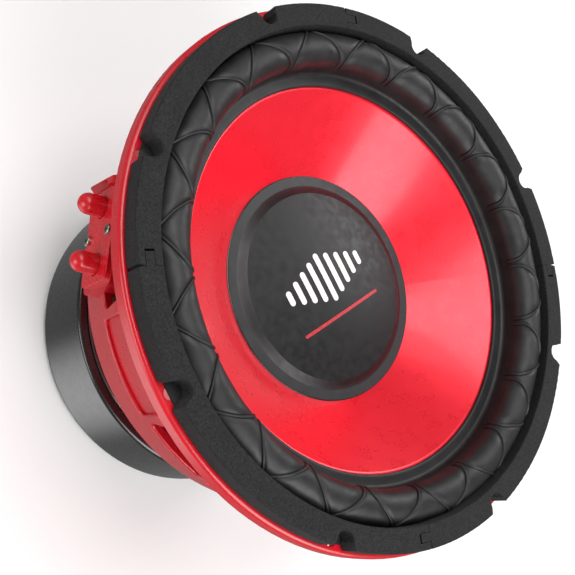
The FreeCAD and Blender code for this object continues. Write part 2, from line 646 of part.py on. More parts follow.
# ---- write every piece -----------------------------------------------------------------------
def main():
    os.makedirs("parts", exist_ok=True)
    save("basket", basket())
    segment = gasket_segment(0.25)
    for i in range(4):
        save("gasket_segment_%d" % (i + 1), spun(segment, 90 * i))
    save("surround", surround())
    save("cone", cone())
    save("dust_cap", dust_cap())
    save("emblem_bars", emblem_bars())
    save("emblem_line", emblem_line())
    coil_mid = (PLATE_REAR + PLATE_FRONT) / 2
    coil_r = FORMER_R + FORMER_T
    save("voice_coil_former", tube(FORMER_R, coil_r, coil_mid - COIL_LENGTH / 2 - 2, FORMER_TOP))
    save("voice_coil", tube(coil_r, coil_r + COIL_T, coil_mid - COIL_LENGTH / 2, coil_mid + COIL_LENGTH / 2))
    save("neck_adhesive", neck_adhesive())
    save("spider", spider())
    save("top_plate", top_plate())
    save("magnet", turned([
        (MAGNET_BORE_R, MAGNET_REAR, 1.0), (MAGNET_R, MAGNET_REAR, 1.5), (MAGNET_R, PLATE_REAR, 1.5),
        (MAGNET_BORE_R, PLATE_REAR, 1.0)]))
    save("t_yoke", t_yoke())
    save("vent_screen", vent_screen())
    save("magnet_boot", magnet_boot())
    save("plate_screws", plate_screws())
    save("terminal_block", terminal_block())
    save("terminal_block_screws", block_screws())
    for number, y in POST_SIDES.items():
        save("terminal_cap_" + number, terminal_cap(y))
        save("terminal_contact_" + number, terminal_contact(y))
        save("terminal_spring_" + number, terminal_spring(y))
        save("solder_lug_" + number, solder_lug(y))
        save("tinsel_lead_" + number, tinsel_lead(y))
    save("lead_eyelets", lead_eyelets())


main()
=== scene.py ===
"""Looks of the car subwoofer driver: materials, soft and wound pieces, stage, light and camera.

Everything is in metres in the part's own frame: the driver stands on its boot at z = 0 and its axis is +Z.
"""

import json
import math

import bpy
import numpy as np
from mathutils import Matrix, Vector

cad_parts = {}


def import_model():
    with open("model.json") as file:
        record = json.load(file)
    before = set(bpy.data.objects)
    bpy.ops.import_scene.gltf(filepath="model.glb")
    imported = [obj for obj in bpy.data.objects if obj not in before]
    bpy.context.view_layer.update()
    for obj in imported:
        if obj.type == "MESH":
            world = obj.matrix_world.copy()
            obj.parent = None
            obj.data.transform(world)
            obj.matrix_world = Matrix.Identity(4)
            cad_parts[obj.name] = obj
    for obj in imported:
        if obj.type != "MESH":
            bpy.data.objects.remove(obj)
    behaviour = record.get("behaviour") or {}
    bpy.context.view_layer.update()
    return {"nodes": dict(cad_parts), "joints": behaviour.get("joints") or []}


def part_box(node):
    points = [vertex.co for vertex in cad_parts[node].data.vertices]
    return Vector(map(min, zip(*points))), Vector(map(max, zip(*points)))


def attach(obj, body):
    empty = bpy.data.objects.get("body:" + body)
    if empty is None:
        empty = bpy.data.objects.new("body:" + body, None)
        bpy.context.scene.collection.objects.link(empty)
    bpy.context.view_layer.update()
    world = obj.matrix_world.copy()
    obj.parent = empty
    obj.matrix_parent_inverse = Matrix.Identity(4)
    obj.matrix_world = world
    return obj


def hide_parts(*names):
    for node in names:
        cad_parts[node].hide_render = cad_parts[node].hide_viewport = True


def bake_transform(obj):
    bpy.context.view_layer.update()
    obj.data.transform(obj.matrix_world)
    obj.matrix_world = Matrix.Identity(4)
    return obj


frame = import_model()

MM = 0.001
NODES = frame["nodes"]
JOINTS = {joint["name"]: joint for joint in frame["joints"]}
FRAME, CONE = "frame", "cone_assembly"


# ---- sizes read from the frame -------------------------------------------------------------------
def outer_radius(node):
    """Largest distance of a turned CAD node from the axis."""
    low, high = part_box(node)
    return max(-low.x, -low.y, high.x, high.y)


def local_points(node, angle):
    """A CAD node's vertices, turned so that the given direction becomes +X."""
    points = np.array([v.co for v in NODES[node].data.vertices])
    cos, sin = math.cos(-angle), math.sin(-angle)
    x, y = points[:, 0] * cos - points[:, 1] * sin, points[:, 0] * sin + points[:, 1] * cos
    return np.stack([x, y, points[:, 2]], axis=1)


GASKET_R = outer_radius("gasket_segment_1")
FRONT_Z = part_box("gasket_segment_1")[1].z
PRESS_AXIS = JOINTS["cap_1_press"]["axis"]
TERMINAL_ANGLE = math.atan2(-PRESS_AXIS[1], -PRESS_AXIS[0])     # the caps are pressed towards the axis


# ---- mesh helpers --------------------------------------------------------------------------------
SHARP = math.radians(40)                 # edges sharper than this are shaded as edges
WIRE_SHARP = math.radians(80)            # on wires and beads only the cut ends are


def new_object(name, points, faces, sharp=SHARP):
    mesh = bpy.data.meshes.new(name)
    mesh.from_pydata([tuple(p) for p in points], [], [tuple(f) for f in faces])
    mesh.validate()
    mesh.shade_smooth()
    mesh.set_sharp_from_angle(angle=sharp)
    obj = bpy.data.objects.new(name, mesh)
    bpy.context.scene.collection.objects.link(obj)
    return obj


def grid_faces(rows, columns, wrap_rows, wrap_columns, first=0):
    """Quads over a grid of points stored row by row."""
    faces = []
    for i in range(rows if wrap_rows else rows - 1):
        for j in range(columns if wrap_columns else columns - 1):
            a, b = i * columns, (i + 1) % rows * columns
            k = (j + 1) % columns
            faces.append((first + a + j, first + a + k, first + b + k, first + b + j))
    return faces


def turned(name, outline, segments=240):
    """A closed surface of revolution. The outline runs counterclockwise in (radius, height)."""
    radius, height = np.array(outline).T
    angles = np.linspace(0, 2 * math.pi, segments, endpoint=False)
    points = np.stack([
        np.outer(radius, np.cos(angles)), np.outer(radius, np.sin(angles)),
        np.outer(height, np.ones(segments))], axis=-1)
    return new_object(name, points.reshape(-1, 3), grid_faces(len(radius), segments, True, True))


def tube(centres, radius, sides, hint):
    """Points and faces of a round tube with closed ends. The hint is a direction the line never takes."""
    centres = np.asarray(centres)
    along = np.gradient(centres, axis=0)
    along /= np.linalg.norm(along, axis=1)[:, None]
    side_a = np.cross(along, np.array(hint)[None, :])
    side_a /= np.linalg.norm(side_a, axis=1)[:, None]
    side_b = np.cross(along, side_a)
    turn = np.linspace(0, 2 * math.pi, sides, endpoint=False)[None, :, None]
    across = side_a[:, None, :] * np.cos(turn) + side_b[:, None, :] * np.sin(turn)
    rings = centres[:, None, :] + radius * across
    faces = grid_faces(len(centres), sides, False, True)
    last = (len(centres) - 1) * sides
    faces.append(tuple(reversed(range(sides))))
    faces.append(tuple(range(last, last + sides)))
    return rings.reshape(-1, 3), faces


def joined(name, parts, sharp=SHARP):
    """One object from several sets of points and faces."""
    points, faces, count = [], [], 0
    for some_points, some_faces in parts:
        points.append(some_points)
        faces += [tuple(count + index for index in face) for face in some_faces]
        count += len(some_points)
    return new_object(name, np.concatenate(points), faces, sharp)


def helix(radius, start, end, turns, steps, axis_point, axis, side_a, side_b):
    """Points of a helix between two distances along an axis."""
    share = np.linspace(0, 1, steps)
    angle = share * turns * 2 * math.pi
    return (np.array(axis_point)[None, :] + np.outer(start + (end - start) * share, axis)
            + radius * (np.outer(np.cos(angle), side_a) + np.outer(np.sin(angle), side_b)))


def smooth_step(share):
    share = np.clip(share, 0, 1)
    return share * share * (3 - 2 * share)


# ---- materials -----------------------------------------------------------------------------------
class Material:
    """A node material with one Principled shader, and short ways to add nodes to it."""

    def __init__(self, name, color, roughness, metallic=0.0, **sockets):
        self.data = bpy.data.materials.new(name)
        self.data.use_nodes = True
        self.tree = self.data.node_tree
        self.shader = self.tree.nodes["Principled BSDF"]
        self.shader.inputs["Base Color"].default_value = (*color, 1)
        self.shader.inputs["Roughness"].default_value = roughness
        self.shader.inputs["Metallic"].default_value = metallic
        for socket, value in sockets.items():
            self.shader.inputs[socket.replace("_", " ")].default_value = value
        self.place = self.node("ShaderNodeTexCoord").outputs["Object"]

    def node(self, kind, inputs=None, **settings):
        made = self.tree.nodes.new(kind)
        for key, value in settings.items():
            setattr(made, key, value)
        for key, value in (inputs or {}).items():
            if isinstance(value, bpy.types.NodeSocket):
                self.tree.links.new(value, made.inputs[key])
            else:
                made.inputs[key].default_value = value
        return made

    def math(self, operation, *values):
        return self.node("ShaderNodeMath", dict(enumerate(values)), operation=operation).outputs[0]

    def noise(self, size, detail=3.0, roughness=0.6, place=None):
        """Noise from 0 to 1 whose blobs are about one size across."""
        inputs = {"Vector": place or self.place, "Scale": 1 / size, "Detail": detail,
                  "Roughness": roughness}
        return self.node("ShaderNodeTexNoise", inputs).outputs["Fac"]

    def cells(self, size):
        """Distance from the middle of the nearest cell, for cells about one size across."""
        inputs = {"Vector": self.place, "Scale": 1 / size}
        return self.node("ShaderNodeTexVoronoi", inputs).outputs["Distance"]

    def ramp(self, value, low, high, from_low=0.0, from_high=1.0):
        """A number that goes from low to high as value goes from from_low to from_high."""
        inputs = {"Value": value, "From Min": from_low, "From Max": from_high,
                  "To Min": low, "To Max": high}
        return self.node("ShaderNodeMapRange", inputs, clamp=True).outputs["Result"]

    def mix(self, share, first, second):
        """A colour between two colours or colour sockets."""
        made = self.node("ShaderNodeMix", data_type="RGBA")
        sockets = {"Factor": made.inputs[0], "A": made.inputs[6], "B": made.inputs[7]}
        for key, value in (("Factor", share), ("A", first), ("B", second)):
            if isinstance(value, bpy.types.NodeSocket):
                self.tree.links.new(value, sockets[key])
            else:
                sockets[key].default_value = value if key == "Factor" else (*value, 1)
        return made.outputs[2]

    def radius(self):
        """Distance from the driver's axis."""
        split = self.node("ShaderNodeSeparateXYZ", {"Vector": self.place})
        x, y = split.outputs["X"], split.outputs["Y"]
        squares = self.math("ADD", self.math("MULTIPLY", x, x), self.math("MULTIPLY", y, y))
        return self.math("SQRT", squares)

    def height(self):
        return self.node("ShaderNodeSeparateXYZ", {"Vector": self.place}).outputs["Z"]

    def color(self, socket):
        self.tree.links.new(socket, self.shader.inputs["Base Color"])

    def roughness(self, socket):
        self.tree.links.new(socket, self.shader.inputs["Roughness"])

    def bump(self, height, depth, strength):
        inputs = {"Height": height, "Distance": depth, "Strength": strength}
        normal = self.node("ShaderNodeBump", inputs).outputs["Normal"]
        self.tree.links.new(normal, self.shader.inputs["Normal"])

    def along(self, **axes):
        """A place made from separate numbers, so that noise runs in lines where an axis is left out."""
        return self.node("ShaderNodeCombineXYZ", axes).outputs[0]


def basket_paint():
    m = Material("basket_paint", (0.56, 0.004, 0.014), 0.3, Coat_Weight=0.35, Coat_Roughness=0.12)
    m.color(m.mix(m.noise(30 * MM), (0.50, 0.003, 0.010), (0.62, 0.006, 0.018)))
    m.roughness(m.ramp(m.noise(9 * MM), 0.27, 0.35, 0.35, 0.65))
    m.bump(m.noise(4 * MM, detail=1.0), 0.006 * MM, 0.4)
    return m.data


def gasket_rubber():
    m = Material("gasket_rubber", (0.030, 0.030, 0.031), 0.82, Sheen_Weight=0.03, Specular_IOR_Level=0.22)
    grain = m.noise(0.9 * MM, detail=4.0, roughness=0.75)
    blotch = m.noise(14 * MM)
    base = m.mix(m.ramp(grain, 0, 1, 0.36, 0.66), (0.004, 0.004, 0.0045), (0.030, 0.030, 0.031))
    m.color(m.mix(m.ramp(blotch, 0, 0.35, 0.35, 0.7), base, (0.009, 0.009, 0.0095)))
    m.roughness(m.ramp(grain, 0.72, 0.95, 0.3, 0.7))
    m.bump(grain, 0.35 * MM, 0.8)
    return m.data


def surround_rubber():
    m = Material("surround_rubber", (0.014, 0.014, 0.015), 0.46, Specular_IOR_Level=0.4)
    film = m.noise(9 * MM)
    m.color(m.mix(m.ramp(film, 0, 1, 0.35, 0.7), (0.010, 0.010, 0.011), (0.019, 0.019, 0.020)))
    m.roughness(m.ramp(m.noise(3 * MM), 0.42, 0.54, 0.35, 0.65))
    m.bump(m.noise(0.6 * MM), 0.03 * MM, 0.5)
    return m.data


def cone_red():
    """Glossy metallic red in front, dark pressed paper behind."""
    paper_rough, front_metallic = 0.85, 0.4
    m = Material("cone_red", (0.9, 0.012, 0.028), 0.3, front_metallic, Coat_Weight=0.35, Coat_Roughness=0.12)
    normal = m.node("ShaderNodeTexCoord").outputs["Normal"]
    facing = m.node("ShaderNodeSeparateXYZ", {"Vector": normal}).outputs["Z"]
    front = m.math("GREATER_THAN", facing, 0.0)
    flakes = m.ramp(m.cells(0.3 * MM), 0, 1, 0.1, 0.6)
    red = m.mix(flakes, (0.90, 0.012, 0.030), (0.95, 0.017, 0.038))
    fibres = m.mix(m.noise(1.2 * MM), (0.012, 0.011, 0.011), (0.035, 0.032, 0.030))
    m.color(m.mix(front, fibres, red))
    front_rough = m.ramp(m.noise(8 * MM), 0.26, 0.34, 0.35, 0.65)
    less_rough = m.math("SUBTRACT", front_rough, paper_rough)
    m.roughness(m.math("MULTIPLY_ADD", front, less_rough, paper_rough))
    m.tree.links.new(m.math("MULTIPLY", front, front_metallic), m.shader.inputs["Metallic"])
    m.bump(m.noise(3 * MM, detail=1.0), 0.006 * MM, 0.3)
    return m.data


def cap_black():
    """Darker on the plateau than on the flat ring round it."""
    plateau_r, ring_r = 50 * MM, 52.5 * MM
    m = Material("cap_black", (0.02, 0.02, 0.022), 0.36, Specular_IOR_Level=0.4)
    ring = m.ramp(m.radius(), 0, 1, plateau_r, ring_r)
    plateau = m.mix(m.noise(7 * MM), (0.007, 0.007, 0.008), (0.011, 0.011, 0.012))
    m.color(m.mix(ring, plateau, (0.026, 0.027, 0.029)))
    m.roughness(m.ramp(m.noise(4 * MM), 0.32, 0.44, 0.35, 0.65))
    m.bump(m.noise(0.4 * MM), 0.02 * MM, 0.5)
    return m.data


def ink(name, light, dark):
    m = Material(name, light, 0.4)
    m.color(m.mix(m.ramp(m.noise(1.4 * MM), 0, 1, 0.4, 0.75), light, dark))
    m.bump(m.noise(0.3 * MM), 0.02 * MM, 0.4)
    return m.data


def motor_steel():
    """Turned steel with fine rings round the axis."""
    m = Material("motor_steel", (0.35, 0.35, 0.36), 0.38, 0.95)
    rings = m.noise(0.5 * MM, place=m.along(X=m.radius(), Y=m.height()))
    m.color(m.mix(m.noise(12 * MM), (0.28, 0.27, 0.26), (0.42, 0.42, 0.43)))
    m.roughness(m.ramp(rings, 0.28, 0.5, 0.3, 0.7))
    m.bump(rings, 0.03 * MM, 0.5)
    return m.data


def ferrite():
    m = Material("ferrite", (0.05, 0.05, 0.052), 0.75)
    grain = m.noise(0.8 * MM, detail=5.0)
    m.color(m.mix(grain, (0.03, 0.03, 0.032), (0.085, 0.083, 0.08)))
    m.bump(grain, 0.12 * MM, 0.6)
    return m.data


def boot_black():
    m = Material("boot_black", (0.008, 0.008, 0.009), 0.26, Coat_Weight=0.8, Coat_Roughness=0.16)
    m.color(m.mix(m.noise(20 * MM), (0.006, 0.006, 0.007), (0.010, 0.010, 0.011)))
    m.roughness(m.ramp(m.noise(5 * MM), 0.23, 0.30, 0.35, 0.65))
    m.bump(m.noise(2.4 * MM, detail=1.0), 0.006 * MM, 0.4)
    return m.data


def metal(name, light, dark, roughness, size=1.5 * MM):
    m = Material(name, light, roughness, 1.0)
    spots = m.noise(size)
    m.color(m.mix(spots, dark, light))
    m.roughness(m.ramp(spots, roughness * 0.8, roughness * 1.3, 0.3, 0.7))
    m.bump(spots, 0.02 * MM, 0.5)
    return m.data


def former_aluminium():
    """Bright foil with fine marks that run round it."""
    m = Material("former_aluminium", (0.8, 0.81, 0.82), 0.3, 1.0)
    marks = m.noise(0.4 * MM, place=m.along(X=m.height()))
    m.color(m.mix(marks, (0.66, 0.67, 0.68), (0.86, 0.87, 0.88)))
    m.roughness(m.ramp(marks, 0.22, 0.42, 0.3, 0.7))
    m.bump(marks, 0.02 * MM, 0.5)
    return m.data


def terminal_red():
    m = Material("terminal_red", (0.62, 0.006, 0.014), 0.28, Coat_Weight=0.3, Coat_Roughness=0.1)
    m.color(m.mix(m.noise(4 * MM), (0.54, 0.004, 0.010), (0.68, 0.010, 0.022)))
    m.roughness(m.ramp(m.noise(2 * MM), 0.22, 0.36, 0.35, 0.65))
    m.bump(m.noise(0.5 * MM), 0.03 * MM, 0.4)
    return m.data


def adhesive():
    m = Material("adhesive", (0.016, 0.013, 0.012), 0.22, Coat_Weight=0.5, Coat_Roughness=0.08)
    m.color(m.mix(m.noise(2 * MM), (0.012, 0.009, 0.008), (0.030, 0.022, 0.018)))
    m.roughness(m.ramp(m.noise(3 * MM), 0.16, 0.34, 0.35, 0.65))
    m.bump(m.noise(2.5 * MM), 0.15 * MM, 0.5)
    return m.data


def spider_cloth():
    """Resin-stiffened open weave: two sets of threads crossing at right angles."""
    m = Material("spider_cloth", (0.42, 0.27, 0.10), 0.75, Sheen_Weight=0.2)
    waves_per_metre = 2 * math.pi / (0.9 * MM)
    split = m.node("ShaderNodeSeparateXYZ", {"Vector": m.place})
    warp = m.math("SINE", m.math("MULTIPLY", split.outputs["X"], waves_per_metre))
    weft = m.math("SINE", m.math("MULTIPLY", split.outputs["Y"], waves_per_metre))
    weave = m.math("MAXIMUM", m.math("ABSOLUTE", warp), m.math("ABSOLUTE", weft))
    threads = m.mix(m.ramp(weave, 0, 1, 0.3, 0.95), (0.16, 0.09, 0.03), (0.52, 0.35, 0.14))
    m.color(m.mix(m.ramp(m.noise(9 * MM), 0, 0.4, 0.4, 0.7), threads, (0.30, 0.17, 0.05)))
    m.bump(weave, 0.25 * MM, 0.8)
    return m.data


def lead_braid():
    m = Material("lead_braid", (0.55, 0.42, 0.30), 0.4, 0.9)
    m.color(m.mix(m.noise(0.8 * MM), (0.42, 0.28, 0.18), (0.66, 0.56, 0.46)))
    m.bump(m.noise(0.3 * MM), 0.05 * MM, 0.6)
    return m.data


MATERIALS = {
    "basket_paint": basket_paint(),
    "gasket_rubber": gasket_rubber(),
    "surround_rubber": surround_rubber(),
    "cone_red": cone_red(),
    "cap_black": cap_black(),
    "print_white": ink("print_white", (0.86, 0.86, 0.85), (0.70, 0.70, 0.69)),
    "print_red": ink("print_red", (0.52, 0.03, 0.04), (0.30, 0.02, 0.03)),
    "motor_steel": motor_steel(),
    "ferrite": ferrite(),
    "boot_black": boot_black(),
    "screen_steel": metal("screen_steel", (0.20, 0.20, 0.21), (0.09, 0.09, 0.09), 0.45),
    "screw_steel": metal("screw_steel", (0.62, 0.60, 0.52), (0.42, 0.40, 0.34), 0.32),
    "spring_steel": metal("spring_steel", (0.60, 0.61, 0.62), (0.44, 0.45, 0.46), 0.28, 0.6 * MM),
    "terminal_brass": metal("terminal_brass", (0.86, 0.66, 0.30), (0.64, 0.44, 0.18), 0.28),
    "coil_copper": metal("coil_copper", (0.80, 0.34, 0.14), (0.52, 0.18, 0.07), 0.3, 0.5 * MM),
    "former_aluminium": former_aluminium(),
    "terminal_red": terminal_red(),
    "adhesive": adhesive(),
    "spider_cloth": spider_cloth(),
    "lead_braid": lead_braid(),
}
CAD_FINISH = {
    "basket_paint": ["basket"],
    "gasket_rubber": ["gasket_segment_%d" % (i + 1) for i in range(4)],
    "cone_red": ["cone"],
    "cap_black": ["dust_cap"],
    "print_white": ["emblem_bars"],
    "print_red": ["emblem_line"],
    "motor_steel": ["top_plate", "t_yoke"],
    "ferrite": ["magnet"],
    "boot_black": ["magnet_boot"],
    "screen_steel": ["vent_screen"],
    "screw_steel": ["plate_screws", "terminal_block_screws"],
    "terminal_brass": [
        "terminal_contact_1", "terminal_contact_2", "solder_lug_1", "solder_lug_2", "lead_eyelets"],
    "former_aluminium": ["voice_coil_former"],
    "terminal_red": ["terminal_block", "terminal_cap_1", "terminal_cap_2"],
    "adhesive": ["neck_adhesive"],
}
for finish, names in CAD_FINISH.items():
    for name in names:
        NODES[name].data.materials.clear()
        NODES[name].data.materials.append(MATERIALS[finish])


def finished(obj, material, replaced=()):
    """Give a piece its material and hide the CAD nodes it stands for."""
    obj.data.materials.append(MATERIALS[material])
    if replaced:
        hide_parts(*replaced)
    return obj


# ---- surround: half roll with twenty moulded gothic arches ---------------------------------------
ROLL_R = 8.3 * MM
SHEET = 1.2 * MM                         # thickness of the roll
EDGE_WIDTH = 9.1 * MM                    # flat edge outside the roll
EDGE_SHEET = 0.8 * MM
FLANK = 6 * MM                           # straight wall from the roll down to the fillet
FILLET_R = 2 * MM
LIP_R = 93.9 * MM                        # inner end of the landing, round the cone
LANDING_FALL = 0.2 * MM                  # how much lower the landing is at its lip
LANDING_SHEET = 0.9 * MM                 # thickness at the fillet
LIP_DROP = 0.5 * MM
LIP_SHEET = 1.0 * MM
SURROUND_R = outer_radius("surround")
ROLL_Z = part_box("surround")[1].z - ROLL_R
ROLL_MID = SURROUND_R - EDGE_WIDTH - ROLL_R
INNER_FOOT = ROLL_MID - ROLL_R
SHELF_Z = ROLL_Z - FLANK - FILLET_R
EDGE_FLAT = 1.5 * MM                     # the last flat point lies this far outside the roll
RIBLESS_ROWS = 2                         # outline points before the roll starts

ARCHES = 20
ARCH_FIRST = math.radians(10.4)          # the first arch's point
ARCH_POINT = 0.80                        # degrees from the arch's middle line to a leg, at the point
ARCH_SPREAD = 7.4                        # degrees that each leg has moved outwards at its foot
ARCH_CURVE = 1.35
ARCH_FROM = math.radians(25)             # a leg starts to spread this far round the roll
ARCH_OVER = math.radians(135)            # and takes this much of the roll to do it
RIB_RUNS_ON = 3.0 * MM                   # length of a rib past the roll, down the flank
RIB_START, RIB_FADE_IN, RIB_FADE_OUT = 1.5 * MM, 3 * MM, 3.5 * MM
RIB_HALF_WIDTH = 0.85 * MM
RIB_SECTION = [                          # half widths from the middle, and height: a bead and a groove
    (0, 0.60 * MM), (0.35, 0.58 * MM), (0.65, 0.46 * MM), (0.85, 0.16 * MM),
    (1.05, -0.20 * MM), (1.3, -0.16 * MM), (1.6, 0)]
GAP_COLUMNS = 4                          # columns of points between two ribs


def surround_outline():
    """The section of the surround, and how many of its first points are on the ribbed face."""
    outside = [(SURROUND_R, ROLL_Z), (ROLL_MID + ROLL_R + EDGE_FLAT, ROLL_Z)]
    roll = [(ROLL_MID + ROLL_R * math.cos(a), ROLL_Z + ROLL_R * math.sin(a))
            for a in np.linspace(0, math.pi, 65)]
    flank = [(INNER_FOOT, ROLL_Z - FLANK * s) for s in np.linspace(0, 1, 9)[1:]]
    fillet = [(INNER_FOOT - FILLET_R * (1 - math.cos(a)), SHELF_Z + FILLET_R * (1 - math.sin(a)))
              for a in np.linspace(0, math.pi / 2, 7)[1:]]
    landing = [(LIP_R + (INNER_FOOT - FILLET_R - LIP_R) * s, SHELF_Z - LANDING_FALL * (1 - s))
               for s in (0.66, 0.33, 0.08)]
    lip = [(LIP_R, SHELF_Z - LIP_DROP), (LIP_R, SHELF_Z - LIP_DROP - LIP_SHEET)]
    under = [(INNER_FOOT + SHEET, SHELF_Z - LANDING_SHEET), (INNER_FOOT + SHEET, ROLL_Z)]
    under += [(ROLL_MID - (ROLL_R - SHEET) * math.cos(a), ROLL_Z + (ROLL_R - SHEET) * math.sin(a))
              for a in np.linspace(0, math.pi, 25)[1:]]
    under += [(ROLL_MID + ROLL_R - SHEET, ROLL_Z - EDGE_SHEET), (SURROUND_R, ROLL_Z - EDGE_SHEET)]
    outline = np.array(outside + roll + flank + fillet + landing + lip + under)
    return outline, len(outside) + len(roll) + len(flank)


def rib_columns(outline, ribbed_rows):
    """Angle and lift of every column of points round the surround, with a value for each outline point."""
    steps = np.linalg.norm(np.diff(outline, axis=0), axis=1)
    run = np.concatenate([[0], np.cumsum(steps)]) - steps[:RIBLESS_ROWS].sum()
    opened = np.clip((run - ARCH_FROM * ROLL_R) / (ARCH_OVER * ROLL_R), 0, 1)
    leg = np.radians(ARCH_POINT + ARCH_SPREAD * np.sin(math.pi / 2 * opened) ** ARCH_CURVE)
    leg_end = math.pi * ROLL_R + RIB_RUNS_ON
    fade = smooth_step((run - RIB_START) / RIB_FADE_IN) * smooth_step((leg_end - run) / RIB_FADE_OUT)
    fade[ribbed_rows:] = 0

    section = [(-x, rise) for x, rise in RIB_SECTION[:0:-1]] + RIB_SECTION
    half = RIB_HALF_WIDTH / ROLL_MID
    foot = half * RIB_SECTION[-1][0]
    gap_shares = np.linspace(0, 1, GAP_COLUMNS + 2)[1:-1]
    angles, lifts = [], []
    for i in range(ARCHES):
        middle = ARCH_FIRST + 2 * math.pi / ARCHES * i
        next_leg = middle + 2 * math.pi / ARCHES - leg
        for this_rib, next_rib in ((middle - leg, middle + leg), (middle + leg, next_leg)):
            for x, rise in section:
                angles.append(this_rib + half * x)
                lifts.append(rise * fade)
            gap_from, gap_to = this_rib + foot, next_rib - foot
            for share in gap_shares:
                angles.append(gap_from + (gap_to - gap_from) * share)
                lifts.append(np.zeros(len(outline)))
    return np.array(angles).T, np.array(lifts).T


def surround_piece():
    outline, ribbed_rows = surround_outline()
    angles, lift = rib_columns(outline, ribbed_rows)
    normal = np.gradient(outline, axis=0)
    normal = np.stack([normal[:, 1], -normal[:, 0]], axis=1)
    normal /= np.linalg.norm(normal, axis=1)[:, None]
    radius = outline[:, :1] + normal[:, :1] * lift
    height = outline[:, 1:] + normal[:, 1:] * lift
    points = np.stack([radius * np.cos(angles), radius * np.sin(angles), height], axis=-1)
    faces = grid_faces(len(outline), angles.shape[1], True, True)
    obj = new_object("surround_roll", points.reshape(-1, 3), faces, math.radians(50))
    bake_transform(obj)
    return finished(obj, "surround_rubber", ["surround"])


# ---- spider, coil, leads, springs ----------------------------------------------------------------
def spider_piece():
    low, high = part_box("spider")
    outer, collar, collar_wall = outer_radius("spider"), 25.5 * MM, 1.0 * MM
    ripple_in, ripple_out, waves, depth, cloth = 31 * MM, 75 * MM, 5, 2.4 * MM, 0.6 * MM
    base = low.z + depth
    share = np.linspace(0, 1, 12 * waves + 1)
    wave_r = ripple_out + (ripple_in - ripple_out) * share
    wave_z = base + depth * np.sin(2 * math.pi * waves * share)
    top = [(outer, base + cloth), (ripple_out + 1 * MM, base + cloth)]
    top += [(r, z + cloth) for r, z in zip(wave_r, wave_z)]
    top += [(collar + collar_wall + 0.4 * MM, base + cloth), (collar + collar_wall, base + 1.4 * MM),
            (collar + collar_wall, high.z)]
    bottom = [(collar, high.z), (collar, base)]
    bottom += [(r, z) for r, z in zip(wave_r[::-1], wave_z[::-1])] + [(outer, base)]
    obj = turned("spider_disc", top + bottom)
    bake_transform(obj)
    return finished(obj, "spider_cloth", ["spider"])


def coil_piece():
    low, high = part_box("voice_coil")
    outer = outer_radius("voice_coil")
    wire_r, turns = 0.375 * MM, 35
    axes = ((0, 0, 0), (0, 0, 1), (1, 0, 0), (0, 1, 0))
    outside = helix(outer - wire_r, low.z + wire_r, high.z - wire_r, turns, turns * 72, *axes)
    inside = helix(outer - 3 * wire_r, high.z - wire_r, low.z + wire_r, turns, turns * 60, *axes)
    wires = [tube(line, wire_r, 6, (0, 0, 1)) for line in (outside, inside)]
    obj = joined("coil_winding", wires, WIRE_SHARP)
    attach(obj, CONE)
    return finished(obj, "coil_copper", ["voice_coil"])


def terminal_turn():
    return Matrix.Rotation(TERMINAL_ANGLE, 3, "Z")


def turned_back(points):
    """Points from a frame whose +X is the terminals' direction, in the part's own frame."""
    return points @ np.array(terminal_turn()).T


def lead_piece(number):
    """Strands twisted round the arc of the CAD lead, which is found from its own points."""
    node = "tinsel_lead_" + number
    points = local_points(node, TERMINAL_ANGLE)
    x, y, z = points[:, 0], points[:, 1].mean(), points[:, 2]
    fit = np.linalg.lstsq(np.stack([x, z, np.ones(len(x))], axis=1), x * x + z * z, rcond=None)[0]
    centre = np.array([fit[0] / 2, fit[1] / 2])
    distance = np.hypot(x - centre[0], z - centre[1])
    bend_r = (distance.min() + distance.max()) / 2
    lead_r = (distance.max() - distance.min()) / 2
    angle = np.unwrap(np.sort(np.arctan2(z - centre[1], x - centre[0])))
    steps, strands, twists = 260, 7, 11
    strand_r, core_r = lead_r * 0.36, lead_r * 0.62
    share = np.linspace(0, 1, steps)
    sweep = angle[-1] + (angle[0] - angle[-1]) * share
    outward = np.stack([np.cos(sweep), np.zeros(steps), np.sin(sweep)], axis=1)
    middle = np.array([centre[0], y, centre[1]]) + bend_r * outward
    sideways = np.tile([0.0, 1.0, 0.0], (steps, 1))
    across = (0.02, 0.03, 1)
    parts = []
    for i in range(strands):
        phase = 2 * math.pi * (i / strands + twists * share)
        offset = outward * np.cos(phase)[:, None] + sideways * np.sin(phase)[:, None]
        line = middle + (lead_r - strand_r) * offset
        parts.append(tube(turned_back(line), strand_r, 6, across))
    parts.append(tube(turned_back(middle), core_r, 8, across))
    obj = joined("lead_braid_" + number, parts, WIRE_SHARP)
    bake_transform(obj)
    return finished(obj, "lead_braid", [node])


def spring_piece(number):
    node = "terminal_spring_" + number
    points = local_points(node, TERMINAL_ANGLE)
    wire_r, mean_r, turns, steps = 0.38 * MM, 2.9 * MM, 6.5, 240
    low, high = points.min(axis=0), points.max(axis=0)
    middle = (low + high) / 2
    start, end = low[0] + wire_r, high[0] - wire_r
    axes = ((0, middle[1], middle[2]), (1, 0, 0), (0, 1, 0), (0, 0, 1))
    line = helix(mean_r, start, end, turns, steps, *axes)
    direction = terminal_turn() @ Vector((1, 0, 0))
    wire = tube(turned_back(line), wire_r, 8, tuple(direction))
    obj = joined("return_spring_" + number, [wire], WIRE_SHARP)
    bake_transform(obj)
    return finished(obj, "spring_steel", [node])


